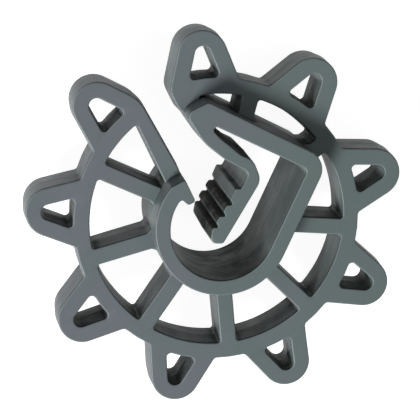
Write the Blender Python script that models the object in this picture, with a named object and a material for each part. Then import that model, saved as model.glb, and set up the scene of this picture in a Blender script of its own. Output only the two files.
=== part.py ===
# Clip-on rebar wheel spacer: a nine-lobed wheel moulded in one piece with its bar clip.
# Metres, +Z up. The wheel lies on the back face of its hub with the throat towards +Y.
import math

import bpy
import bmesh
from mathutils import Vector
from mathutils.geometry import tessellate_polygon

# Wheel: rim, lobes and spokes
LOBE_COUNT = 9
TIP_RADIUS = 0.0500
NOSE_RADIUS = 0.0067
FLANK_ANGLE = math.radians(17.3)
RIM_OUTER_RADIUS = 0.0376
RIM_INNER_RADIUS = 0.0329
RIM_WIDTH = 0.0146
WALL = 0.0049
HOLE_BASE_RADIUS = 0.0378
HOLE_NOSE_RADIUS = 0.0017
HOLE_CORNER_RADIUS = 0.0008
LOBE_ROOT_RADIUS = 0.0009
WINDOW_CORNER_RADIUS = 0.0009
SPOKE_WIDTH = 0.0049
SPOKE_FLARE = 0.0010
SPOKE_BURIED = 0.0022
SPOKE_TAPER = 0.0008
WEB_DRAFT = 0.00030
WEB_EDGE = 0.00040

# Throat: the strut on its left and the arm root on its right
STRUT_LEFT_X = -0.0082
STRUT_CORNERS = (
    (STRUT_LEFT_X, 0.0133, 0.0),
    (-0.0042, 0.0133, 0.0),
    (-0.0034, 0.0146, 0.0006),
    (-0.0029, 0.0168, 0.0010),
)
STRUT_FACE_NORMAL = math.radians(3.5)
ARM_FACE_NORMAL = math.radians(181.2)
STRUT_SHOULDER_RADIUS = 0.0100
ARM_SHOULDER_RADIUS = 0.0050
ARM_CORNERS = (
    (0.00305, 0.0312, 0.0040),
    (0.0043, 0.0276, 0.0),
    (0.0092, 0.0274, 0.0),
)
ARM_ROOT_ANGLE = math.radians(73.0)

# Hub and clip
HUB_WIDTH = 0.0314
SEAT_CENTRE_Y = -0.00055
SEAT_RADIUS = 0.0133
SEAT_OUTER_RADIUS = 0.01765
CLIP_SHIFT_Y = 0.00020
CLIP_DRAFT = 0.00020
CLIP_EDGE = 0.00040
LEG_ANGLE = math.radians(40.0)
ROOF_ANGLE = math.radians(-52.0)
ROOF_OUTER_DISTANCE = 0.02745
ROOF_INNER_DISTANCE = 0.02255
CORNER_OUTER_RADIUS = 0.0055
CORNER_INNER_RADIUS = 0.0013
SEAT_START_ANGLE = math.radians(121.0)
HUB_TOP_Y = 0.0156
HUB_TOP_RADIUS = 0.0008
HOOK_CORNERS = (
    (-0.0031, 0.0156, 0.0007),
    (-0.0031, 0.0091, 0.0009),
    (-0.0054, 0.0091, 0.0009),
    (-0.0063, 0.0113, 0.0005),
)
ARM_TOP_CORNERS = (
    (0.0037, 0.0309, 0.0022),
    (0.01068, 0.0309, 0.0016),
)
SLOT_END = (0.0083, 0.0256, 0.0005)
TONGUE_OUTER = (
    (0.0093, 0.0217, 0.0100),
    (0.0124, 0.0150, 0.0040),
    (0.0147, 0.0122, 0.0040),
    (0.0143, 0.0065, 0.0040),
)
JAW_TIP = (
    (-0.0016, -0.0042, 0.0013),
    (-0.0052, -0.0023, 0.0018),
)
JAW_GROOVE = (
    (0.0072, 0.0078, 0.0006),
    (0.0085, 0.0071, 0.0003),
    (0.0097, 0.0079, 0.0008),
)
JAW_REAR = (
    (0.0118, 0.0100, 0.0014),
    (0.0078, 0.0156, 0.0080),
    (0.0048, 0.0218, 0.0120),
)

# Teeth of the jaw, in a row from the first notch towards the tip
TOOTH_COUNT = 3
NOTCH_START = (0.0048, 0.0042)
TOOTH_PITCH = 0.0034
RACK_ANGLE = math.radians(212.0)
TOOTH_HEIGHT = 0.0013
TOOTH_RADIUS = 0.0009
NOTCH_RADIUS = 0.00025
TOOTH_RISE_SHARE = 0.20
TOOTH_FALL_SHARE = 0.76
TOOTH_INSET_SHARE = 0.50

# Faceting
ARC_STEP = math.radians(24.5)
BROAD_STEP = math.radians(12.5)
SEAT_STEP = math.radians(8.0)
RIM_STEP = math.radians(6.5)
SMOOTH_ANGLE = math.radians(32.0)

PLASTIC_COLOUR = (0.13, 0.15, 0.165, 1.0)
PLASTIC_ROUGHNESS = 0.45

LOBE_PITCH = math.tau / LOBE_COUNT
THROAT_ANGLE = math.pi / 2
FIRST_LOBE_ANGLE = THROAT_ANGLE + LOBE_PITCH / 2
SEAT_CENTRE = Vector((0.0, SEAT_CENTRE_Y))


def direction(angle):
    return Vector((math.cos(angle), math.sin(angle)))


def turned(point, angle):
    along = direction(angle)
    across = direction(angle + math.pi / 2)
    return along * point[0] + across * point[1]


def arc(centre, radius, start, end, step):
    # evenly spaced points on an arc, both ends included
    count = max(2, math.ceil(abs(end - start) / step) + 1)
    angles = [start + (end - start) * i / (count - 1) for i in range(count)]
    return [centre + direction(a) * radius for a in angles]


def line_crossing(angle_a, distance_a, angle_b, distance_b):
    # where two lines cross, each given by its normal's angle and its distance from the axis
    bottom = math.sin(angle_b - angle_a)
    x = (distance_a * math.sin(angle_b) - distance_b * math.sin(angle_a)) / bottom
    y = (distance_b * math.cos(angle_a) - distance_a * math.cos(angle_b)) / bottom
    return Vector((x, y))


def corner(point, radius=0.0, share=1.0):
    return Vector((point[0], point[1])), radius, share


def corners(rows, share=1.0):
    return [corner(row, row[2], share) for row in rows]


def plain(points):
    return [corner(p) for p in points]


def rounded(path):
    # replaces every corner that has a radius with a tangent arc, broad ones in finer steps
    result = []
    for i, (point, radius, share) in enumerate(path):
        before = path[i - 1][0]
        after = path[(i + 1) % len(path)][0]
        if radius == 0.0:
            result.append((point, share))
            continue
        arriving = (point - before).normalized()
        leaving = (after - point).normalized()
        turn = arriving.angle_signed(leaving)
        if turn == 0.0:
            result.append((point, share))
            continue
        side = -math.copysign(1.0, turn)
        normal = Vector((-arriving.y, arriving.x)) * side
        start = point - arriving * radius * math.tan(abs(turn) / 2)
        centre = start + normal * radius
        first = math.atan2(start.y - centre.y, start.x - centre.x)
        step = BROAD_STEP if radius >= NOSE_RADIUS else ARC_STEP
        swept = arc(centre, radius, first, first + side * abs(turn), step)
        result.extend((p, share) for p in swept)
    return result


def inset(loop, distance):
    # moves a loop into the material, which lies to the left of its direction of travel
    moved = []
    for i, (point, share) in enumerate(loop):
        into = (point - loop[i - 1][0]).normalized()
        out = (loop[(i + 1) % len(loop)][0] - point).normalized()
        first = Vector((-into.y, into.x))
        second = Vector((-out.y, out.x))
        mitre = (first + second) / (1.0 + first.dot(second))
        moved.append(point + mitre * distance * share)
    return moved


def flank_distance():
    # distance of a lobe's flank line from the wheel axis
    return (TIP_RADIUS - NOSE_RADIUS) * math.sin(FLANK_ANGLE) + NOSE_RADIUS


def flank_point(distance, radius):
    # where the flank line at that distance meets a circle round the wheel axis
    along = math.sqrt(radius * radius - distance * distance)
    normal = Vector((math.sin(FLANK_ANGLE), math.cos(FLANK_ANGLE)))
    return normal * distance + Vector((normal.y, -normal.x)) * along


def shoulder(point, normal, flank_normal, radius):
    # round corner where a wall of the throat, given by a point on it, runs into a lobe's flank
    distance = Vector(point[:2]).dot(direction(normal))
    return corner(line_crossing(normal, distance, flank_normal, flank_distance()), radius)


def lobe_path(angle, with_right_root, with_left_root):
    # one lobe from its right root over the nose to its left root
    distance = flank_distance()
    root = flank_point(distance, RIM_OUTER_RADIUS)
    apex = (distance / math.sin(FLANK_ANGLE), 0.0)
    path = [corner(turned(apex, angle), NOSE_RADIUS)]
    if with_right_root:
        path.insert(0, corner(turned((root.x, -root.y), angle), LOBE_ROOT_RADIUS))
    if with_left_root:
        path.append(corner(turned(root, angle), LOBE_ROOT_RADIUS))
        path.append(corner(direction(angle + LOBE_PITCH / 2) * RIM_OUTER_RADIUS))
    return path


def lobe_hole(angle):
    # rounded triangle that leaves one wall thickness all round, clockwise
    distance = flank_distance() - WALL
    base = flank_point(distance, HOLE_BASE_RADIUS)
    apex = (distance / math.sin(FLANK_ANGLE), 0.0)
    low = (base.x, -base.y)
    path = [corner(turned(apex, angle), HOLE_NOSE_RADIUS)]
    path.append(corner(turned(low, angle), HOLE_CORNER_RADIUS))
    path.append(corner(direction(angle) * HOLE_BASE_RADIUS))
    path.append(corner(turned(base, angle), HOLE_CORNER_RADIUS))
    return path


def corner_reach(leg_distance):
    # distance from the wheel axis to the middle of the clip's rounded outer corner
    sharp = line_crossing(
        LEG_ANGLE - math.pi / 2, leg_distance, ROOF_ANGLE + math.pi / 2, ROOF_OUTER_DISTANCE)
    half_corner = (LEG_ANGLE - ROOF_ANGLE) / 2
    return sharp.length - CORNER_OUTER_RADIUS * (1.0 / math.cos(half_corner) - 1.0)


def spoke_reach(angle):
    # distance from the wheel axis at which a spoke's centre line meets the hub
    toward_leg = math.cos(angle - (LEG_ANGLE - math.pi / 2))
    toward_roof = math.cos(angle - (ROOF_ANGLE + math.pi / 2))
    leg_distance = SEAT_OUTER_RADIUS + SEAT_CENTRE.dot(direction(LEG_ANGLE - math.pi / 2))
    if toward_roof > math.cos(LOBE_PITCH / 2):
        return ROOF_OUTER_DISTANCE / toward_roof
    if toward_leg > math.cos(LOBE_PITCH * 3 / 4) and math.cos(angle) > math.sqrt(0.5):
        return leg_distance / toward_leg
    if toward_roof > math.cos(LOBE_PITCH):
        return corner_reach(leg_distance)
    return SEAT_OUTER_RADIUS + SEAT_CENTRE.dot(direction(angle))


def spoke_path(angle, beside_strut):
    # one spoke going in towards the hub and out again, its end buried in the hub wall
    half = SPOKE_WIDTH / 2
    rim = math.sqrt(RIM_INNER_RADIUS ** 2 - half ** 2)
    reach = spoke_reach(angle)
    side = [
        (rim, half, WINDOW_CORNER_RADIUS),
        (reach + SPOKE_FLARE, half, SPOKE_FLARE),
        (reach - WEB_EDGE, half + SPOKE_FLARE, 0.0),
        (reach - SPOKE_BURIED, half, 0.0),
    ]
    going_in = [corner(turned((x, y), angle), r) for x, y, r in side]
    if beside_strut:
        side = [
            (rim, half, WINDOW_CORNER_RADIUS),
            (reach - WEB_EDGE, half, 0.0),
            (reach - SPOKE_BURIED, half - SPOKE_TAPER, 0.0),
        ]
    coming_out = [corner(turned((x, -y), angle), r) for x, y, r in reversed(side)]
    return going_in + coming_out


def rim_inner_arc(start, end):
    # the rim's inner edge between two corners, its end points left out
    points = arc(Vector((0.0, 0.0)), RIM_INNER_RADIUS, start, end, RIM_STEP)
    return plain(points[1:-1])


def web_outline():
    # outer edge anticlockwise over all lobes, then back along the inside of the rim
    path = []
    for k in range(LOBE_COUNT):
        angle = FIRST_LOBE_ANGLE + LOBE_PITCH * k
        path += lobe_path(angle, k > 0, k < LOBE_COUNT - 1)
    steep = math.pi / 2 - FLANK_ANGLE
    last_lobe_angle = THROAT_ANGLE - LOBE_PITCH / 2
    arm_flank = last_lobe_angle + steep
    path.append(shoulder(ARM_CORNERS[0], ARM_FACE_NORMAL, arm_flank, ARM_SHOULDER_RADIUS))
    path += corners(ARM_CORNERS)
    path.append(corner(direction(ARM_ROOT_ANGLE) * RIM_INNER_RADIUS, WINDOW_CORNER_RADIUS))
    spoke_half_angle = math.asin(SPOKE_WIDTH / 2 / RIM_INNER_RADIUS)
    last = ARM_ROOT_ANGLE
    for k in range(1, LOBE_COUNT):
        angle = THROAT_ANGLE - LOBE_PITCH * k
        path += rim_inner_arc(last, angle + spoke_half_angle)
        path += spoke_path(angle, k == LOBE_COUNT - 1)
        last = angle - spoke_half_angle
    strut_angle = math.acos(STRUT_LEFT_X / RIM_INNER_RADIUS)
    path += rim_inner_arc(last, strut_angle - math.tau)
    path.append(corner(direction(strut_angle) * RIM_INNER_RADIUS, WINDOW_CORNER_RADIUS))
    path += corners(STRUT_CORNERS)
    strut_flank = FIRST_LOBE_ANGLE - steep
    path.append(
        shoulder(STRUT_CORNERS[-1], STRUT_FACE_NORMAL, strut_flank, STRUT_SHOULDER_RADIUS))
    return path


def teeth():
    # the rack of the jaw from the first notch to the last one
    rack = direction(RACK_ANGLE)
    outward = Vector((rack.y, -rack.x))
    start = Vector(NOTCH_START)
    path = []
    for k in range(TOOTH_COUNT):
        notch = start + rack * TOOTH_PITCH * k
        rise = notch + rack * TOOTH_PITCH * TOOTH_RISE_SHARE + outward * TOOTH_HEIGHT
        fall = notch + rack * TOOTH_PITCH * TOOTH_FALL_SHARE + outward * TOOTH_HEIGHT
        path.append(corner(notch, NOTCH_RADIUS, TOOTH_INSET_SHARE))
        path.append(corner(rise, TOOTH_RADIUS, TOOTH_INSET_SHARE))
        if k < TOOTH_COUNT - 1:
            path.append(corner(fall, TOOTH_RADIUS, TOOTH_INSET_SHARE))
    before = start + rack * TOOTH_PITCH * (TOOTH_FALL_SHARE - 1.0) + outward * TOOTH_HEIGHT
    path.insert(0, corner(before, TOOTH_RADIUS, TOOTH_INSET_SHARE))
    return path


def clip_outline():
    # hub, leg, roof, tongue and jaw as one ribbon, anticlockwise
    leg_normal = LEG_ANGLE - math.pi / 2
    roof_normal = ROOF_ANGLE + math.pi / 2
    leg_offset = SEAT_CENTRE.dot(direction(leg_normal))
    top_sine = (HUB_TOP_Y - SEAT_CENTRE_Y) / SEAT_OUTER_RADIUS
    top_angle = math.pi - math.asin(top_sine)
    leg_end = leg_normal + math.tau
    outer_corner = line_crossing(
        leg_normal, SEAT_OUTER_RADIUS + leg_offset, roof_normal, ROOF_OUTER_DISTANCE)
    inner_corner = line_crossing(
        leg_normal, SEAT_RADIUS + leg_offset, roof_normal, ROOF_INNER_DISTANCE)
    outer = arc(SEAT_CENTRE, SEAT_OUTER_RADIUS, top_angle, leg_end, SEAT_STEP)
    inner = arc(SEAT_CENTRE, SEAT_RADIUS, leg_end, SEAT_START_ANGLE, SEAT_STEP)
    path = [corner(outer[0], HUB_TOP_RADIUS)]
    path += plain(outer[1:])
    path.append(corner(outer_corner, CORNER_OUTER_RADIUS))
    path += reversed(corners(ARM_TOP_CORNERS))
    path += reversed(corners(JAW_REAR))
    path += reversed(corners(JAW_GROOVE, TOOTH_INSET_SHARE))
    path += teeth()
    path += reversed(corners(JAW_TIP))
    path += reversed(corners(TONGUE_OUTER))
    path.append(corner(SLOT_END, SLOT_END[2]))
    path.append(corner(inner_corner, CORNER_INNER_RADIUS))
    path += plain(inner)
    path += reversed(corners(HOOK_CORNERS, TOOTH_INSET_SHARE))
    return path


def levels(bottom, top, draft, edge):
    # heights with their insets: rounded edges, and walls that lean in from the parting plane
    half = (top - bottom) / 2
    middle = (top + bottom) / 2
    diagonal = math.sqrt(0.5)
    rows = [
        (half, draft + edge),
        (half - edge * (1.0 - diagonal), draft + edge * (1.0 - diagonal)),
        (half - edge, draft * (half - edge) / half),
    ]
    below = [(middle - height, depth) for height, depth in rows]
    above = [(middle + height, depth) for height, depth in reversed(rows)]
    return below + [(middle, 0.0)] + above


def add_cap(bm, rings, upward):
    # closes one end of a body, holes left open
    outlines = [[v.co.copy() for v in ring] for ring in rings]
    verts = [v for ring in rings for v in ring]
    for triangle in tessellate_polygon(outlines):
        a, b, c = (verts[i] for i in triangle)
        up = (b.co - a.co).cross(c.co - a.co).z > 0.0
        bm.faces.new((a, b, c) if up == upward else (a, c, b))


def make_body(name, loops, rows):
    # stacks inset copies of the loops and skins them
    bm = bmesh.new()
    stacks = []
    for loop in loops:
        stack = []
        for height, depth in rows:
            points = inset(loop, depth)
            stack.append([bm.verts.new((p.x, p.y, height)) for p in points])
        stacks.append(stack)
        for low, high in zip(stack, stack[1:]):
            for i in range(len(low)):
                j = (i + 1) % len(low)
                bm.faces.new((low[i], low[j], high[j], high[i]))
    add_cap(bm, [stack[0] for stack in stacks], False)
    add_cap(bm, [stack[-1] for stack in stacks], True)
    mesh = bpy.data.meshes.new(name)
    bm.to_mesh(mesh)
    bm.free()
    body = bpy.data.objects.new(name, mesh)
    bpy.context.scene.collection.objects.link(body)
    return body


def join(body, tool):
    # unites a second body with the first and drops it
    modifier = body.modifiers.new("join", "BOOLEAN")
    modifier.operation = "UNION"
    modifier.solver = "EXACT"
    modifier.object = tool
    graph = bpy.context.evaluated_depsgraph_get()
    mesh = bpy.data.meshes.new_from_object(body.evaluated_get(graph))
    body.modifiers.clear()
    body.data = mesh
    bpy.data.objects.remove(tool)


def axis_y():
    # puts the middle of the outline over the origin
    highest = (TIP_RADIUS - NOSE_RADIUS) * math.cos(LOBE_PITCH / 2) + NOSE_RADIUS
    return (TIP_RADIUS - highest) / 2


def plastic():
    material = bpy.data.materials.new("grey_plastic")
    material.use_nodes = True
    shader = material.node_tree.nodes["Principled BSDF"]
    shader.inputs["Base Color"].default_value = PLASTIC_COLOUR
    shader.inputs["Roughness"].default_value = PLASTIC_ROUGHNESS
    material.diffuse_color = PLASTIC_COLOUR
    return material


def build():
    for item in list(bpy.data.objects):
        bpy.data.objects.remove(item)
    web_bottom = (HUB_WIDTH - RIM_WIDTH) / 2
    web_rows = levels(web_bottom, web_bottom + RIM_WIDTH, WEB_DRAFT, WEB_EDGE)
    holes = [lobe_hole(FIRST_LOBE_ANGLE + LOBE_PITCH * k) for k in range(LOBE_COUNT)]
    web_loops = [rounded(path) for path in [web_outline()] + holes]
    wheel = make_body("wheel_spacer", web_loops, web_rows)
    clip_rows = levels(0.0, HUB_WIDTH, CLIP_DRAFT, CLIP_EDGE)
    clip = make_body("clip", [rounded(clip_outline())], clip_rows)
    for vertex in clip.data.vertices:
        vertex.co.y += CLIP_SHIFT_Y
    join(wheel, clip)
    mesh = wheel.data
    mesh.name = "wheel_spacer"
    for vertex in mesh.vertices:
        vertex.co.y += axis_y()
    mesh.materials.clear()
    mesh.materials.append(plastic())
    mesh.shade_smooth()
    mesh.set_sharp_from_angle(angle=SMOOTH_ANGLE)
    return wheel


build()
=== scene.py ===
import math

import bpy
import numpy as np
from mathutils import Matrix, Vector
from mathutils.geometry import tessellate_polygon


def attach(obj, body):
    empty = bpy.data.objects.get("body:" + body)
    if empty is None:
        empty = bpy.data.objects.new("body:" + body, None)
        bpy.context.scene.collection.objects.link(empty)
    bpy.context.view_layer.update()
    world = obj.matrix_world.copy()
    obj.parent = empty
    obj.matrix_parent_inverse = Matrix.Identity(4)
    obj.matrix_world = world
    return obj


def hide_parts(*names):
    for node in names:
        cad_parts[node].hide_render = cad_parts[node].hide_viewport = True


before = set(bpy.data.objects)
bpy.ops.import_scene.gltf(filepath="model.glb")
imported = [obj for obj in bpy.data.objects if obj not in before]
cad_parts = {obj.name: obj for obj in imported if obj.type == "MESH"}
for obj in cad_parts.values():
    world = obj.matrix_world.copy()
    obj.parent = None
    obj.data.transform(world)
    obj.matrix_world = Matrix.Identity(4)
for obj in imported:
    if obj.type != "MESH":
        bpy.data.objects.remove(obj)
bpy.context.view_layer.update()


# Wheel: one injection moulding in blue-grey polypropylene. The two mould halves part at the middle
# of its width, and from that line the walls lean in by one to three tenths of a millimetre. Sizes
# are the solid's in millimetres, but with finer arcs, round edges and tighter window corners.

# Rim, lobes and spokes
LOBES = 9
PITCH = math.tau / LOBES
THROAT = math.pi / 2
FIRST_LOBE = THROAT + PITCH / 2
TIP = 50.0
NOSE = 6.7
FLANK = math.radians(17.3)
FLANK_DISTANCE = (TIP - NOSE) * math.sin(FLANK) + NOSE
MIDDLE_Y = (TIP - (TIP - NOSE) * math.cos(PITCH / 2) - NOSE) / 2
LOBE_ROOT = 0.9
WALL = 4.9
HOLE_BASE = 37.8
HOLE_NOSE = 1.7
HOLE_CORNER = 0.8
RIM_OUTER = 37.6
RIM_INNER = 32.9
RIM_WIDTH = 14.6
WINDOW_CORNER = 0.5
SPOKE_HALF = 2.45
SPOKE_FLARE = 1.0
SPOKE_BURIED = 2.2
SPOKE_TAPER = 0.8

# Throat: the strut on its left and the arm's root on its right, corners with their radii
STRUT_LEFT = -8.2
STRUT_CORNERS = [
    (STRUT_LEFT + 13.3j, 0.0),
    (-4.2 + 13.3j, 0.0),
    (-3.4 + 14.6j, 0.6),
    (-2.9 + 16.8j, 1.0),
]
STRUT_FACE = math.radians(3.5)
STRUT_SHOULDER = 10.0
ARM_CORNERS = [(3.05 + 31.2j, 4.0), (4.3 + 27.6j, 0.0), (9.2 + 27.4j, 0.0)]
ARM_FACE = math.radians(181.2)
ARM_SHOULDER = 5.0
ARM_ROOT = math.radians(73.0)

# Hub and clip: the round seat, the straight leg and roof, then corners with their radii
HUB_WIDTH = 31.4
HUB_TOP = 15.6
HUB_TOP_CORNER = 0.8
SEAT_CENTRE = -0.55j
SEAT = 13.3
SEAT_OUTER = 17.65
SEAT_START = math.radians(121.0)
LEG_NORMAL = math.radians(-50.0)
ROOF_NORMAL = math.radians(38.0)
ROOF_OUTER = 27.45
ROOF_INNER = 22.55
CORNER_OUTER = 5.5
CORNER_INNER = 1.3
CLIP_SHIFT = 0.20
ARM_TOP = [(10.68 + 30.9j, 1.6), (3.7 + 30.9j, 2.2)]
JAW_REAR = [(4.8 + 21.8j, 12.0), (7.8 + 15.6j, 8.0), (11.8 + 10.0j, 1.4)]
JAW_GROOVE = [(9.7 + 7.9j, 0.8), (8.5 + 7.1j, 0.3), (7.2 + 7.8j, 0.6)]
JAW_TIP = [(-5.2 - 2.3j, 1.8), (-1.6 - 4.2j, 1.3)]
TONGUE = [(14.3 + 6.5j, 4.0), (14.7 + 12.2j, 4.0), (12.4 + 15.0j, 4.0), (9.3 + 21.7j, 10.0)]
SLOT_END = [(8.3 + 25.6j, 0.5)]
HOOK = [(-6.3 + 11.3j, 0.5), (-5.4 + 9.1j, 0.9), (-3.1 + 9.1j, 0.9), (-3.1 + 1j * HUB_TOP, 0.7)]

# Teeth of the jaw, in a row from the first notch towards the tip
NOTCHES = 3
FIRST_NOTCH = 4.8 + 4.2j
NOTCH_CORNER = 0.25
TOOTH_PITCH = 3.4
TOOTH_HEIGHT = 1.3
TOOTH_CORNER = 0.9
TOOTH_FALL = 0.24
TOOTH_RISE = 0.20
RACK_ANGLE = math.radians(212.0)

# Mould: draft, the round edge of a face, the seam, the share of these on small forms, arc steps
WEB_DRAFT = 0.30
CLIP_DRAFT = 0.20
EDGE = 0.40
EDGE_ROWS = 6
SEAM = 0.03
SEAM_HALF = 0.14
SMALL_SHARE = 0.5
ARC_STEP = math.radians(7.5)
LONG_STEP = math.radians(3.0)
SHARP_ANGLE = math.radians(34.0)


# Outlines: a point is a complex number, and an outline is a list of (point, corner radius, share)
# with the material on its left. The share is how much of the draft and edge its point takes.

def ray(angle):
    """Unit vector at an angle."""
    return np.exp(1j * angle)


def corners(rows, share=1.0, angle=0.0):
    """Outline points from (point, radius) rows, turned about the wheel's axis."""
    return [(point * ray(angle), radius, share) for point, radius in rows]


def sweep(centre, radius, start, end):
    """Points centre + radius * ray(t) for even steps of t from start to end, both included."""
    count = max(2, math.ceil(abs(end - start) / LONG_STEP) + 1)
    return [(p, 0.0, 1.0) for p in centre + radius * ray(np.linspace(start, end, count))]


def fillet(path):
    """Points and shares of an outline whose corners are rounded.

    Each corner becomes the arc that touches both its sides. The arc starts radius * tan(turn / 2)
    before the corner, and its centre stands one radius off that point, towards the turn.
    """
    points = []
    shares = []
    for i, (here, radius, share) in enumerate(path):
        before = path[i - 1][0]
        after = path[(i + 1) % len(path)][0]
        arriving = (here - before) / abs(here - before)
        leaving = (after - here) / abs(after - here)
        turn = np.angle(leaving / arriving)
        if radius == 0.0 or turn == 0.0:
            points.append(here)
            shares.append(share)
            continue
        start = here - arriving * radius * math.tan(abs(turn) / 2)
        centre = start + arriving * 1j * math.copysign(radius, turn)
        count = max(3, math.ceil(abs(turn) / ARC_STEP) + 1)
        points.extend(centre + (start - centre) * ray(np.linspace(0.0, turn, count)))
        shares.extend([share] * count)
    return np.array(points), np.array(shares)


def mitres(points):
    """How each point of a closed outline moves when its sides move left by one.

    That is the sum of the unit normals of its two sides, over one plus the cosine between them.
    """
    into = points - np.roll(points, 1)
    into /= abs(into)
    out = np.roll(into, -1)
    return 1j * (into + out) / (1.0 + (into * out.conj()).real)


def crossing(normal_a, distance_a, normal_b, distance_b):
    """Where two lines cross, each given by its normal's angle and its distance from the axis.

    The point is i * (b * ray(angle a) - a * ray(angle b)) / sin(angle b - angle a).
    """
    between = math.sin(normal_b - normal_a)
    return 1j * (distance_b * ray(normal_a) - distance_a * ray(normal_b)) / between


def shoulder(point, normal, flank_normal, radius):
    """Corner where a wall of the throat, through a point at a normal's angle, meets a lobe's flank."""
    wall = (point * ray(-normal)).real
    return crossing(normal, wall, flank_normal, FLANK_DISTANCE), radius, 1.0


def flank_point(distance, radius):
    """Where the flank of a lobe along +x, at a distance from the axis, meets a circle about it.

    The point is normal * (distance - i * sqrt(radius ** 2 - distance ** 2)).
    """
    normal = math.sin(FLANK) + 1j * math.cos(FLANK)
    return normal * (distance - 1j * math.sqrt(radius ** 2 - distance ** 2))


def lobe(angle, right_root, left_root):
    """One lobe anticlockwise: right root, nose, left root and the middle of the rim gap after it.

    The flanks are tangent to the nose and cross at their distance / sin(FLANK) from the axis.
    """
    root = flank_point(FLANK_DISTANCE, RIM_OUTER)
    rows = [(FLANK_DISTANCE / math.sin(FLANK), NOSE)]
    if right_root:
        rows.insert(0, (root.conjugate(), LOBE_ROOT))
    if left_root:
        rows.append((root, LOBE_ROOT))
        rows.append((RIM_OUTER * ray(PITCH / 2), 0.0))
    return corners(rows, angle=angle)


def lobe_hole(angle):
    """Rounded triangle that leaves one wall thickness along a lobe's flanks, clockwise."""
    distance = FLANK_DISTANCE - WALL
    base = flank_point(distance, HOLE_BASE)
    rows = [
        (distance / math.sin(FLANK), HOLE_NOSE),
        (base.conjugate(), HOLE_CORNER),
        (HOLE_BASE, 0.0),
        (base, HOLE_CORNER),
    ]
    return corners(rows, angle=angle)


def spoke_reach(angle):
    """Distance from the axis at which a spoke's middle meets the roof, the leg, their corner or the hub.

    A straight wall is met at its distance over the cosine of the angle to its normal. The rounded
    corner lies CORNER_OUTER * (1 / cos(half the corner) - 1) inside the sharp one.
    """
    toward_leg = math.cos(angle - LEG_NORMAL)
    toward_roof = math.cos(angle - ROOF_NORMAL)
    leg_distance = SEAT_OUTER + (SEAT_CENTRE * ray(-LEG_NORMAL)).real
    if toward_roof > math.cos(PITCH / 2):
        return ROOF_OUTER / toward_roof
    if toward_leg > math.cos(PITCH * 3 / 4) and math.cos(angle) > math.sqrt(0.5):
        return leg_distance / toward_leg
    if toward_roof > math.cos(PITCH):
        sharp = abs(crossing(LEG_NORMAL, leg_distance, ROOF_NORMAL, ROOF_OUTER))
        half_corner = (math.pi - ROOF_NORMAL + LEG_NORMAL) / 2
        return sharp - CORNER_OUTER * (1.0 / math.cos(half_corner) - 1.0)
    return SEAT_OUTER + (SEAT_CENTRE * ray(-angle)).real


def spoke(angle, beside_strut):
    """One spoke inwards and out again, flared where it enters the hub, its end buried in the wall.

    The spoke beside the strut has its flare on the far side only.
    """
    rim = math.sqrt(RIM_INNER ** 2 - SPOKE_HALF ** 2)
    reach = spoke_reach(angle)
    going_in = [
        (rim + 1j * SPOKE_HALF, WINDOW_CORNER),
        (reach + SPOKE_FLARE + 1j * SPOKE_HALF, SPOKE_FLARE),
        (reach - EDGE + 1j * (SPOKE_HALF + SPOKE_FLARE), 0.0),
        (reach - SPOKE_BURIED + 1j * SPOKE_HALF, 0.0),
    ]
    coming_out = going_in
    if beside_strut:
        coming_out = [
            going_in[0],
            (reach - EDGE + 1j * SPOKE_HALF, 0.0),
            (reach - SPOKE_BURIED + 1j * (SPOKE_HALF - SPOKE_TAPER), 0.0),
        ]
    mirrored = [(point.conjugate(), radius) for point, radius in reversed(coming_out)]
    return corners(going_in + mirrored, angle=angle)


def web_outline():
    """Outer edge anticlockwise over all lobes, the arm's root, the rim's inside and the strut."""
    path = []
    for k in range(LOBES):
        path += lobe(FIRST_LOBE + PITCH * k, k > 0, k < LOBES - 1)
    steep = math.pi / 2 - FLANK
    last_lobe = THROAT - PITCH / 2
    path.append(shoulder(ARM_CORNERS[0][0], ARM_FACE, last_lobe + steep, ARM_SHOULDER))
    path += corners(ARM_CORNERS)
    path.append((RIM_INNER * ray(ARM_ROOT), WINDOW_CORNER, 1.0))
    half_spoke = math.asin(SPOKE_HALF / RIM_INNER)
    last = ARM_ROOT
    for k in range(1, LOBES):
        angle = THROAT - PITCH * k
        path += sweep(0.0, RIM_INNER, last, angle + half_spoke)[1:-1]
        path += spoke(angle, k == LOBES - 1)
        last = angle - half_spoke
    strut = math.acos(STRUT_LEFT / RIM_INNER)
    path += sweep(0.0, RIM_INNER, last, strut - math.tau)[1:-1]
    path.append((RIM_INNER * ray(strut), WINDOW_CORNER, 1.0))
    path += corners(STRUT_CORNERS)
    path.append(shoulder(STRUT_CORNERS[-1][0], STRUT_FACE, FIRST_LOBE - steep, STRUT_SHOULDER))
    return path


def teeth():
    """The rack of the jaw: notches a pitch apart, each with a tooth's crest before and after it."""
    rack = ray(RACK_ANGLE)
    path = []
    for k in range(NOTCHES):
        notch = FIRST_NOTCH + rack * TOOTH_PITCH * k
        crest = notch - 1j * rack * TOOTH_HEIGHT
        path.append((crest - rack * TOOTH_PITCH * TOOTH_FALL, TOOTH_CORNER, SMALL_SHARE))
        path.append((notch, NOTCH_CORNER, SMALL_SHARE))
        path.append((crest + rack * TOOTH_PITCH * TOOTH_RISE, TOOTH_CORNER, SMALL_SHARE))
    return path


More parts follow.
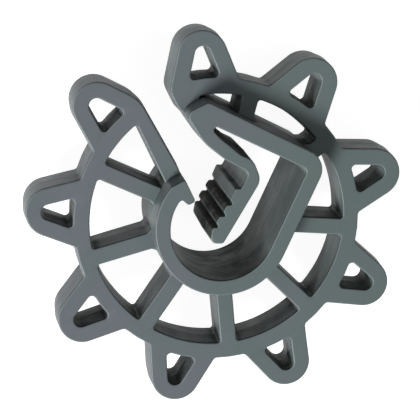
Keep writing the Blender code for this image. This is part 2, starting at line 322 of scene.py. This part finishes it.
def clip_outline():
    """Hub, leg, roof, tongue and jaw as one ribbon anticlockwise: its outer side, then its inner."""
    shift = (SEAT_CENTRE * ray(-LEG_NORMAL)).real
    top = math.pi - math.asin((HUB_TOP - SEAT_CENTRE.imag) / SEAT_OUTER)
    leg_end = LEG_NORMAL + math.tau
    outer_corner = crossing(LEG_NORMAL, SEAT_OUTER + shift, ROOF_NORMAL, ROOF_OUTER)
    inner_corner = crossing(LEG_NORMAL, SEAT + shift, ROOF_NORMAL, ROOF_INNER)
    path = sweep(SEAT_CENTRE, SEAT_OUTER, top, leg_end)
    path[0] = (path[0][0], HUB_TOP_CORNER, 1.0)
    path.append((outer_corner, CORNER_OUTER, 1.0))
    path += corners(ARM_TOP + JAW_REAR)
    path += corners(JAW_GROOVE, SMALL_SHARE)
    path += teeth()
    path += corners(JAW_TIP + TONGUE + SLOT_END)
    path.append((inner_corner, CORNER_INNER, 1.0))
    path += sweep(SEAT_CENTRE, SEAT, leg_end, SEAT_START)
    path += corners(HOOK, SMALL_SHARE)
    return path


def wall_rows(width, draft):
    """Heights and insets of the rows of points on a moulded wall, from its lower face to its upper.

    At a face the wall is a quarter circle of radius EDGE. Between, its inset grows from the middle
    as draft * height / half the width, past a seam that stands out at the middle.
    """
    half = width / 2
    turn = np.linspace(0.0, math.pi / 2, EDGE_ROWS)
    heights = np.append(half - EDGE * (1.0 - np.cos(turn)), [half / 2, SEAM_HALF])
    insets = np.append(EDGE * (1.0 - np.sin(turn)), [0.0, 0.0]) + draft * heights / half + SEAM
    heights = np.concatenate([-heights, [0.0], heights[::-1]])
    return heights, np.concatenate([insets, [0.0], insets[::-1]])


def flat_face(verts, rings, upward):
    """Triangles between rings of points at one height, each turned to face up or down."""
    filled = tessellate_polygon([verts[ring].tolist() for ring in rings])
    triangles = np.concatenate(rings)[np.array(filled)]
    flat = verts[triangles, 0] + 1j * verts[triangles, 1]
    area = ((flat[:, 1] - flat[:, 0]).conj() * (flat[:, 2] - flat[:, 0])).imag
    wrong = (area > 0.0) != upward
    triangles[wrong] = triangles[wrong][:, [0, 2, 1]]
    return triangles


def moulding(name, paths, width, draft):
    """A flat piece between two faces: a wall on every outline, and both faces closed.

    A wall's points are outline + mitre * inset * share at each height, and four neighbours make a
    face. The corner attribute "depth" is how far a corner lies under the nearer face.
    """
    heights, insets = wall_rows(width, draft)
    verts = np.empty((0, 3))
    quads = []
    grids = []
    for path in paths:
        points, shares = fillet(path)
        rings = points + mitres(points) * insets[:, None] * shares
        grid = len(verts) + np.arange(rings.size).reshape(rings.shape)
        after = np.roll(grid, -1, axis=1)
        quads.append(np.stack([grid[:-1], after[:-1], after[1:], grid[1:]], axis=-1).reshape(-1, 4))
        grids.append(grid)
        levels = np.broadcast_to(heights[:, None], rings.shape)
        wall = np.stack([rings.real, rings.imag, levels], axis=-1).reshape(-1, 3)
        verts = np.concatenate([verts, wall])
    quads = np.concatenate(quads)
    bottom = flat_face(verts, [grid[0] for grid in grids], False)
    top = flat_face(verts, [grid[-1] for grid in grids], True)
    mesh = bpy.data.meshes.new(name)
    mesh.from_pydata(verts.tolist(), [], quads.tolist() + bottom.tolist() + top.tolist())
    face_corners = np.concatenate([quads.ravel(), bottom.ravel(), top.ravel()])
    depth = mesh.attributes.new("depth", "FLOAT", "CORNER")
    depth.data.foreach_set("value", width / 2 - abs(verts[face_corners, 2]))
    made = bpy.data.objects.new(name, mesh)
    bpy.context.scene.collection.objects.link(made)
    return made


def unite(body, tool):
    """Joins a second closed mesh into the first and removes it."""
    step = body.modifiers.new("union", "BOOLEAN")
    step.operation = "UNION"
    step.solver = "EXACT"
    step.object = tool
    graph = bpy.context.evaluated_depsgraph_get()
    joined = bpy.data.meshes.new_from_object(body.evaluated_get(graph))
    body.modifiers.clear()
    body.data = joined
    bpy.data.objects.remove(tool)


# Finish: colours of the plastic, where dust and painted shade lie on it, and a painted highlight on
# its edges. PICTURE_LEFT and PICTURE_UP are the picture's directions in the wheel's axes, and
# reaches of the dust and painted shade are in metres.

GREENER_PLASTIC = (0.111, 0.151, 0.145, 1.0)
BLUER_PLASTIC = (0.130, 0.147, 0.163, 1.0)
# Painted highlight colour, laid on the rounded edges between walls and faces
EDGE_HIGHLIGHT_PLASTIC = (0.235, 0.260, 0.262, 1.0)
# Colour of dust and of painted shade in closed corners and on walls facing up
DUST_AND_SHADE = (0.026, 0.026, 0.020, 1.0)
DRIFT_PER_METRE = 2.6
PICTURE_LEFT = (-0.895, 0.419, -0.153)
PICTURE_UP = (0.444, 0.867, -0.226)
BROAD_CLOUDS = 0.62
FINE_CLOUDS = 0.38
FAR_REACH = 0.014
NEAR_REACH = 0.0022
DUST_AND_SHADE_STREAKS = (1.0, 1.0, 1.5)
DUST_DULLS = 0.45
# Painted shade laid evenly on walls, strongest on those facing up
WALL_SHADE = 0.20
# Depth under the face, in millimetres, of the painted shade line along each wall
DARK_LINE_DEPTH = 0.62

# Sockets of a Mix node that mixes colours
MIX_A = 6
MIX_B = 7
MIX_RESULT = 2


def node(tree, kind, **values):
    """Adds a shader node. Values that name a socket set it, the others are the node's settings."""
    made = tree.nodes.new(kind)
    for name, value in values.items():
        socket = made.inputs.get(name.replace("_", " "))
        if socket is not None:
            socket.default_value = value
        else:
            setattr(made, name, value)
    return made


def wire(tree, start, end):
    """Links an output, given as (node, name or number), to an input given the same way."""
    tree.links.new(start[0].outputs[start[1]], end[0].inputs[end[1]])


def group(name, **inputs):
    """Starts a node group with one Value output. An input is given as its name and socket type."""
    tree = bpy.data.node_groups.new(name, "ShaderNodeTree")
    for socket, kind in inputs.items():
        tree.interface.new_socket(socket.replace("_", " "), in_out="INPUT", socket_type=kind)
    tree.interface.new_socket("Value", in_out="OUTPUT", socket_type="NodeSocketFloat")
    return tree, tree.nodes.new("NodeGroupInput"), tree.nodes.new("NodeGroupOutput")


def mottle_group():
    """Cloudy unevenness of moulded plastic: broad and fine noise on object coordinates, added."""
    tree, start, end = group("mottle", Broad_Scale="NodeSocketFloat", Fine_Scale="NodeSocketFloat")
    place = node(tree, "ShaderNodeTexCoord")
    broad = node(tree, "ShaderNodeTexNoise", Detail=3.0, Roughness=0.55)
    fine = node(tree, "ShaderNodeTexNoise", Detail=4.0, Roughness=0.65)
    total = node(tree, "ShaderNodeMath", operation="MULTIPLY_ADD")
    total.inputs[1].default_value = BROAD_CLOUDS
    fine_part = node(tree, "ShaderNodeMath", operation="MULTIPLY")
    fine_part.inputs[1].default_value = FINE_CLOUDS
    for noise, socket in ((broad, "Broad Scale"), (fine, "Fine Scale")):
        wire(tree, (place, "Object"), (noise, "Vector"))
        wire(tree, (start, socket), (noise, "Scale"))
    wire(tree, (fine, "Fac"), (fine_part, 0))
    wire(tree, (broad, "Fac"), (total, 0))
    wire(tree, (fine_part, 0), (total, 2))
    wire(tree, (total, 0), (end, "Value"))
    return tree


def shade_and_dust_group():
    """Dust and painted shade: (closeness far and near + darkening) * streaky noise * facing up.

    Closeness is one minus ambient occlusion at two reaches, walls far and near, and faces take about
    a third of it; it paints shade into closed corners. Darkening lies on walls alone. Up is the
    picture's up, and facing it adds painted shade on walls that the key lamp misses.
    """
    tree, start, end = group(
        "shade_and_dust", Far="NodeSocketFloat", Near="NodeSocketFloat", Stain="NodeSocketFloat")
    place = node(tree, "ShaderNodeTexCoord")
    # Painted shade: closeness from ambient occlusion darkens closed corners
    far = node(tree, "ShaderNodeAmbientOcclusion", samples=6, Distance=FAR_REACH)
    near = node(tree, "ShaderNodeAmbientOcclusion", samples=6, Distance=NEAR_REACH)
    far_closed = node(tree, "ShaderNodeMath", operation="SUBTRACT")
    far_closed.inputs[0].default_value = 1.0
    near_closed = node(tree, "ShaderNodeMath", operation="SUBTRACT")
    near_closed.inputs[0].default_value = 1.0
    far_share = node(tree, "ShaderNodeMath", operation="MULTIPLY")
    closed = node(tree, "ShaderNodeMath", operation="MULTIPLY_ADD")
    normal = node(tree, "ShaderNodeSeparateXYZ")
    level = node(tree, "ShaderNodeMath", operation="ABSOLUTE")
    wall = node(tree, "ShaderNodeMapRange", From_Min=0.25, From_Max=0.85, To_Min=1.0, To_Max=0.0)
    some_wall = node(tree, "ShaderNodeMapRange", From_Min=0.25, From_Max=0.85, To_Min=1.0, To_Max=0.35)
    closed_wall = node(tree, "ShaderNodeMath", operation="MULTIPLY")
    shade_sum = node(tree, "ShaderNodeMath", operation="MULTIPLY_ADD")
    streak = node(tree, "ShaderNodeVectorMath", operation="MULTIPLY")
    streak.inputs[1].default_value = DUST_AND_SHADE_STREAKS
    noise = node(tree, "ShaderNodeTexNoise", Scale=150.0, Detail=8.0, Roughness=0.74, Distortion=0.4)
    spread = node(tree, "ShaderNodeMapRange", From_Min=0.36, From_Max=0.62, To_Min=0.50, To_Max=1.25)
    # Painted shade: surfaces facing the picture's up, away from the key lamp, darken more
    facing = node(tree, "ShaderNodeVectorMath", operation="DOT_PRODUCT")
    facing.inputs[1].default_value = PICTURE_UP
    upward_shade = node(tree, "ShaderNodeMapRange", From_Min=-0.3, From_Max=0.8, To_Min=0.15, To_Max=1.0)
    broken = node(tree, "ShaderNodeMath", operation="MULTIPLY")
    kept = node(tree, "ShaderNodeMath", operation="MULTIPLY", use_clamp=True)
    wire(tree, (far, "AO"), (far_closed, 1))
    wire(tree, (near, "AO"), (near_closed, 1))
    wire(tree, (far_closed, 0), (far_share, 0))
    wire(tree, (start, "Far"), (far_share, 1))
    wire(tree, (near_closed, 0), (closed, 0))
    wire(tree, (start, "Near"), (closed, 1))
    wire(tree, (far_share, 0), (closed, 2))
    wire(tree, (place, "Normal"), (normal, 0))
    wire(tree, (normal, "Z"), (level, 0))
    wire(tree, (level, 0), (wall, "Value"))
    wire(tree, (level, 0), (some_wall, "Value"))
    wire(tree, (closed, 0), (closed_wall, 0))
    wire(tree, (some_wall, "Result"), (closed_wall, 1))
    wire(tree, (start, "Stain"), (shade_sum, 0))
    wire(tree, (wall, "Result"), (shade_sum, 1))
    wire(tree, (closed_wall, 0), (shade_sum, 2))
    wire(tree, (place, "Object"), (streak, 0))
    wire(tree, (streak, 0), (noise, "Vector"))
    wire(tree, (noise, "Fac"), (spread, "Value"))
    wire(tree, (place, "Normal"), (facing, 0))
    wire(tree, (facing, "Value"), (upward_shade, "Value"))
    wire(tree, (shade_sum, 0), (broken, 0))
    wire(tree, (spread, "Result"), (broken, 1))
    wire(tree, (broken, 0), (kept, 0))
    wire(tree, (upward_shade, "Result"), (kept, 1))
    wire(tree, (kept, 0), (end, "Value"))
    return tree


def dark_patch_group():
    """A round patch seen along the wheel's axis, in metres.

    It has its full depth inside the inner radius round a centre and fades to nothing at the outer.
    """
    tree, start, end = group(
        "dark_patch", Centre="NodeSocketVector", Inner="NodeSocketFloat", Outer="NodeSocketFloat",
        Depth="NodeSocketFloat")
    place = node(tree, "ShaderNodeTexCoord")
    away = node(tree, "ShaderNodeVectorMath", operation="SUBTRACT")
    flat = node(tree, "ShaderNodeVectorMath", operation="MULTIPLY")
    flat.inputs[1].default_value = (1.0, 1.0, 0.0)
    length = node(tree, "ShaderNodeVectorMath", operation="LENGTH")
    fade = node(tree, "ShaderNodeMapRange", interpolation_type="SMOOTHSTEP", To_Max=0.0)
    wire(tree, (place, "Object"), (away, 0))
    wire(tree, (start, "Centre"), (away, 1))
    wire(tree, (away, 0), (flat, 0))
    wire(tree, (flat, 0), (length, 0))
    wire(tree, (length, "Value"), (fade, "Value"))
    wire(tree, (start, "Inner"), (fade, "From Min"))
    wire(tree, (start, "Outer"), (fade, "From Max"))
    wire(tree, (start, "Depth"), (fade, "To Min"))
    wire(tree, (fade, "Result"), (end, "Value"))
    return tree


MOTTLE = mottle_group()
SHADE_AND_DUST = shade_and_dust_group()
DARK_PATCH = dark_patch_group()


def plastic():
    """Satin polypropylene: blue-grey with faint clouds, bluer on the left and greener on the right.

    Its rounded edges carry a painted highlight. Dust and painted shade make it duller and nearly
    black in closed corners and on walls facing up; the walls are darker in patches at the jaw and
    the seat, and a painted shade line runs along each wall just under its face.
    """
    made = bpy.data.materials.new("grey_plastic")
    made.use_nodes = True
    tree = made.node_tree
    shader = tree.nodes["Principled BSDF"]
    shader.inputs["IOR"].default_value = 1.49
    shader.inputs["Specular IOR Level"].default_value = 0.36
    place = node(tree, "ShaderNodeTexCoord")
    clouds = node(tree, "ShaderNodeGroup", node_tree=MOTTLE, Broad_Scale=48.0, Fine_Scale=700.0)
    across = node(tree, "ShaderNodeVectorMath", operation="DOT_PRODUCT")
    across.inputs[1].default_value = PICTURE_LEFT
    shifted = node(tree, "ShaderNodeMath", operation="MULTIPLY_ADD")
    shifted.inputs[1].default_value = DRIFT_PER_METRE
    spread = node(tree, "ShaderNodeMapRange", From_Min=0.36, From_Max=0.64)
    colour = node(tree, "ShaderNodeMix", data_type="RGBA")
    colour.inputs[MIX_A].default_value = GREENER_PLASTIC
    colour.inputs[MIX_B].default_value = BLUER_PLASTIC
    normal = node(tree, "ShaderNodeSeparateXYZ")
    level = node(tree, "ShaderNodeMath", operation="ABSOLUTE")
    # Painted highlight: the rounded edges between wall and face are lightened
    leaving_wall = node(tree, "ShaderNodeMapRange", From_Min=0.35, From_Max=0.65)
    reaching_face = node(tree, "ShaderNodeMapRange", From_Min=0.90, From_Max=0.99, To_Min=0.42, To_Max=0.0)
    edge = node(tree, "ShaderNodeMath", operation="MULTIPLY")
    edge_highlight = node(tree, "ShaderNodeMix", data_type="RGBA")
    edge_highlight.inputs[MIX_B].default_value = EDGE_HIGHLIGHT_PLASTIC
    # Darker patches on the walls at the jaw's rack and at the seat
    jaw = node(tree, "ShaderNodeGroup", node_tree=DARK_PATCH, Centre=(-0.0012, 0.0025, 0.0), Inner=0.0048,
               Outer=0.0085, Depth=0.85)
    seat = node(tree, "ShaderNodeGroup", node_tree=DARK_PATCH, Centre=(-0.0030, -0.0130, 0.0), Inner=0.0030,
                Outer=0.0170, Depth=0.28)
    both = node(tree, "ShaderNodeMath", operation="ADD")
    # Even painted shade on the walls, added to the patches
    wall_shade = node(tree, "ShaderNodeMath", operation="ADD")
    wall_shade.inputs[1].default_value = WALL_SHADE
    # Painted shade line: a thin dark band on each wall just under its face
    depth = node(tree, "ShaderNodeAttribute", attribute_name="depth")
    off_line = node(tree, "ShaderNodeMath", operation="SUBTRACT")
    off_line.inputs[1].default_value = DARK_LINE_DEPTH
    off_size = node(tree, "ShaderNodeMath", operation="ABSOLUTE")
    shade_line = node(tree, "ShaderNodeMapRange", From_Min=0.12, From_Max=0.42, To_Min=0.70, To_Max=0.0)
    wall_darkening = node(tree, "ShaderNodeMath", operation="ADD")
    # Dust and painted shade: darkens and dulls the plastic in corners, on walls facing up, and in the
    # patches and line
    dust_and_shade = node(tree, "ShaderNodeGroup", node_tree=SHADE_AND_DUST, Far=0.42, Near=0.75)
    dust_and_shade_mix = node(tree, "ShaderNodeMix", data_type="RGBA")
    dust_and_shade_mix.inputs[MIX_B].default_value = DUST_AND_SHADE
    rough = node(tree, "ShaderNodeMapRange", From_Min=0.3, From_Max=0.7, To_Min=0.36, To_Max=0.52)
    dull = node(tree, "ShaderNodeMath", operation="MULTIPLY_ADD", use_clamp=True)
    dull.inputs[1].default_value = DUST_DULLS
    peel = node(tree, "ShaderNodeTexNoise", Scale=1500.0, Detail=2.0)
    bump = node(tree, "ShaderNodeBump", Strength=0.12, Distance=0.0002)
    wire(tree, (place, "Object"), (across, 0))
    wire(tree, (across, "Value"), (shifted, 0))
    wire(tree, (clouds, "Value"), (shifted, 2))
    wire(tree, (shifted, 0), (spread, "Value"))
    wire(tree, (spread, "Result"), (colour, 0))
    wire(tree, (place, "Normal"), (normal, 0))
    wire(tree, (normal, "Z"), (level, 0))
    wire(tree, (level, 0), (leaving_wall, "Value"))
    wire(tree, (level, 0), (reaching_face, "Value"))
    wire(tree, (leaving_wall, "Result"), (edge, 0))
    wire(tree, (reaching_face, "Result"), (edge, 1))
    wire(tree, (edge, 0), (edge_highlight, 0))
    wire(tree, (colour, MIX_RESULT), (edge_highlight, MIX_A))
    wire(tree, (edge_highlight, MIX_RESULT), (dust_and_shade_mix, MIX_A))
    wire(tree, (jaw, "Value"), (both, 0))
    wire(tree, (seat, "Value"), (both, 1))
    wire(tree, (depth, "Fac"), (off_line, 0))
    wire(tree, (off_line, 0), (off_size, 0))
    wire(tree, (off_size, 0), (shade_line, "Value"))
    wire(tree, (both, 0), (wall_shade, 0))
    wire(tree, (wall_shade, 0), (wall_darkening, 0))
    wire(tree, (shade_line, "Result"), (wall_darkening, 1))
    wire(tree, (wall_darkening, 0), (dust_and_shade, "Stain"))
    wire(tree, (dust_and_shade, "Value"), (dust_and_shade_mix, 0))
    wire(tree, (dust_and_shade_mix, MIX_RESULT), (shader, "Base Color"))
    wire(tree, (clouds, "Value"), (rough, "Value"))
    wire(tree, (dust_and_shade, "Value"), (dull, 0))
    wire(tree, (rough, "Result"), (dull, 2))
    wire(tree, (dull, 0), (shader, "Roughness"))
    wire(tree, (place, "Object"), (peel, "Vector"))
    wire(tree, (peel, "Fac"), (bump, "Height"))
    wire(tree, (bump, "Normal"), (shader, "Normal"))
    return made


def make_wheel():
    """The web of rim, lobes, spokes and strut, united with the wider clip and moved to the frame."""
    holes = [lobe_hole(FIRST_LOBE + PITCH * k) for k in range(LOBES)]
    wheel = moulding("wheel", [web_outline()] + holes, RIM_WIDTH, WEB_DRAFT)
    clip = moulding("clip", [clip_outline()], HUB_WIDTH, CLIP_DRAFT)
    clip.data.transform(Matrix.Translation((0.0, CLIP_SHIFT, 0.0)))
    unite(wheel, clip)
    wheel.data.transform(Matrix.Translation((0.0, MIDDLE_Y, HUB_WIDTH / 2)))
    wheel.data.transform(Matrix.Scale(0.001, 4))
    wheel.data.materials.clear()
    wheel.data.materials.append(plastic())
    wheel.data.shade_smooth()
    wheel.data.set_sharp_from_angle(angle=SHARP_ANGLE)
    flat = wheel.modifiers.new("flat faces", "WEIGHTED_NORMAL")
    flat.mode = "FACE_AREA"
    flat.keep_sharp = True
    return wheel


wheel = make_wheel()
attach(wheel, "root")
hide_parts("wheel_spacer")


# Stage: a white table seen by the camera as plain paper white, which still takes the shadow.

FLOOR_HALF = 2.0
CARD = (0.06, 0.06, 0.06, 1.0)
SEEN_CARD = (0.40, 0.40, 0.40, 1.0)
PAPER_GLOW = 0.93


def paper():
    """Matt floor that camera, mirror and glass rays see lifted towards white.

    The light it throws back on the wheel stays that of dark card.
    """
    made = bpy.data.materials.new("paper")
    made.use_nodes = True
    tree = made.node_tree
    tree.nodes.clear()
    rays = node(tree, "ShaderNodeLightPath")
    seen = node(tree, "ShaderNodeMath", operation="MAXIMUM")
    through = node(tree, "ShaderNodeMath", operation="MAXIMUM")
    colour = node(tree, "ShaderNodeMix", data_type="RGBA")
    colour.inputs[MIX_A].default_value = CARD
    colour.inputs[MIX_B].default_value = SEEN_CARD
    card = node(tree, "ShaderNodeBsdfDiffuse")
    glow = node(tree, "ShaderNodeEmission")
    lift = node(tree, "ShaderNodeMath", operation="MULTIPLY")
    lift.inputs[1].default_value = PAPER_GLOW
    both = node(tree, "ShaderNodeAddShader")
    end = node(tree, "ShaderNodeOutputMaterial")
    wire(tree, (rays, "Is Camera Ray"), (seen, 0))
    wire(tree, (rays, "Is Glossy Ray"), (seen, 1))
    wire(tree, (seen, 0), (through, 0))
    wire(tree, (rays, "Is Transmission Ray"), (through, 1))
    wire(tree, (through, 0), (colour, 0))
    wire(tree, (colour, MIX_RESULT), (card, "Color"))
    wire(tree, (through, 0), (lift, 0))
    wire(tree, (lift, 0), (glow, "Strength"))
    wire(tree, (card, 0), (both, 0))
    wire(tree, (glow, 0), (both, 1))
    wire(tree, (both, 0), (end, "Surface"))
    return made


def make_floor():
    """One square of table at the height on which the wheel rests."""
    mesh = bpy.data.meshes.new("floor")
    signs = ((-1, -1), (1, -1), (1, 1), (-1, 1))
    mesh.from_pydata([(FLOOR_HALF * x, FLOOR_HALF * y, 0.0) for x, y in signs], [], [(0, 1, 2, 3)])
    mesh.materials.append(paper())
    made = bpy.data.objects.new("floor", mesh)
    bpy.context.scene.collection.objects.link(made)
    return made


make_floor()


# Camera: stands where the photograph was taken, sixteen degrees off the wheel's axis. It looks
# half a millimetre past a point of that axis, just in front of the rim's back face.

ROLL = math.radians(25.065)
LEAN = math.radians(13.235)
TURN = math.radians(8.801)
TARGET = Vector((0.0, 0.001 * MIDDLE_Y, 0.00866))
AWAY = 0.46247
AIM_RIGHT = 0.000176
AIM_UP = -0.000444
FOCAL_PIXELS = 1732.8
PICTURE_PIXELS = 420.0
SENSOR = 36.0
NEAREST = 0.01

to_camera = Matrix.Rotation(LEAN, 3, "X") @ Matrix.Rotation(TURN, 3, "Y") @ Matrix.Rotation(ROLL, 3, "Z")
from_camera = to_camera.transposed()
place = TARGET + from_camera @ Vector((AIM_RIGHT, AIM_UP, AWAY))
lens = bpy.data.cameras.new("camera")
lens.sensor_width = SENSOR
lens.lens = FOCAL_PIXELS / PICTURE_PIXELS * SENSOR
lens.clip_start = NEAREST
camera = bpy.data.objects.new("camera", lens)
camera.matrix_world = Matrix.Translation(place) @ from_camera.to_4x4()
bpy.context.scene.collection.objects.link(camera)
bpy.context.scene.camera = camera


# Light: a pale room, a key box low on the picture's left, a broader and weaker one level with the
# wheel on its left, and a faint near one on its right.

ROOM_STRENGTH = 0.105


def soft_box(name, direction, away, size, power):
    """A square area lamp that faces the wheel from a direction in the camera's axes.

    These are right, up and towards the camera.
    """
    data = bpy.data.lights.new(name, "AREA")
    data.size = size
    data.energy = power
    made = bpy.data.objects.new(name, data)
    aim = (from_camera @ Vector(direction)).normalized()
    made.location = aim * away
    made.rotation_euler = aim.to_track_quat("Z", "Y").to_euler()
    bpy.context.scene.collection.objects.link(made)


soft_box("key", (-0.42, -0.62, 0.60), away=1.8, size=0.60, power=37.0)
soft_box("side", (-0.94, 0.10, 0.24), away=1.8, size=0.90, power=14.0)
soft_box("front", (0.60, -0.20, 1.0), away=0.8, size=0.4, power=0.65)

world = bpy.data.worlds.new("room")
world.use_nodes = True
world.node_tree.nodes["Background"].inputs["Color"].default_value = (1.0, 1.0, 1.0, 1.0)
world.node_tree.nodes["Background"].inputs["Strength"].default_value = ROOM_STRENGTH
bpy.context.scene.world = world
bpy.context.scene.view_settings.view_transform = "Standard"
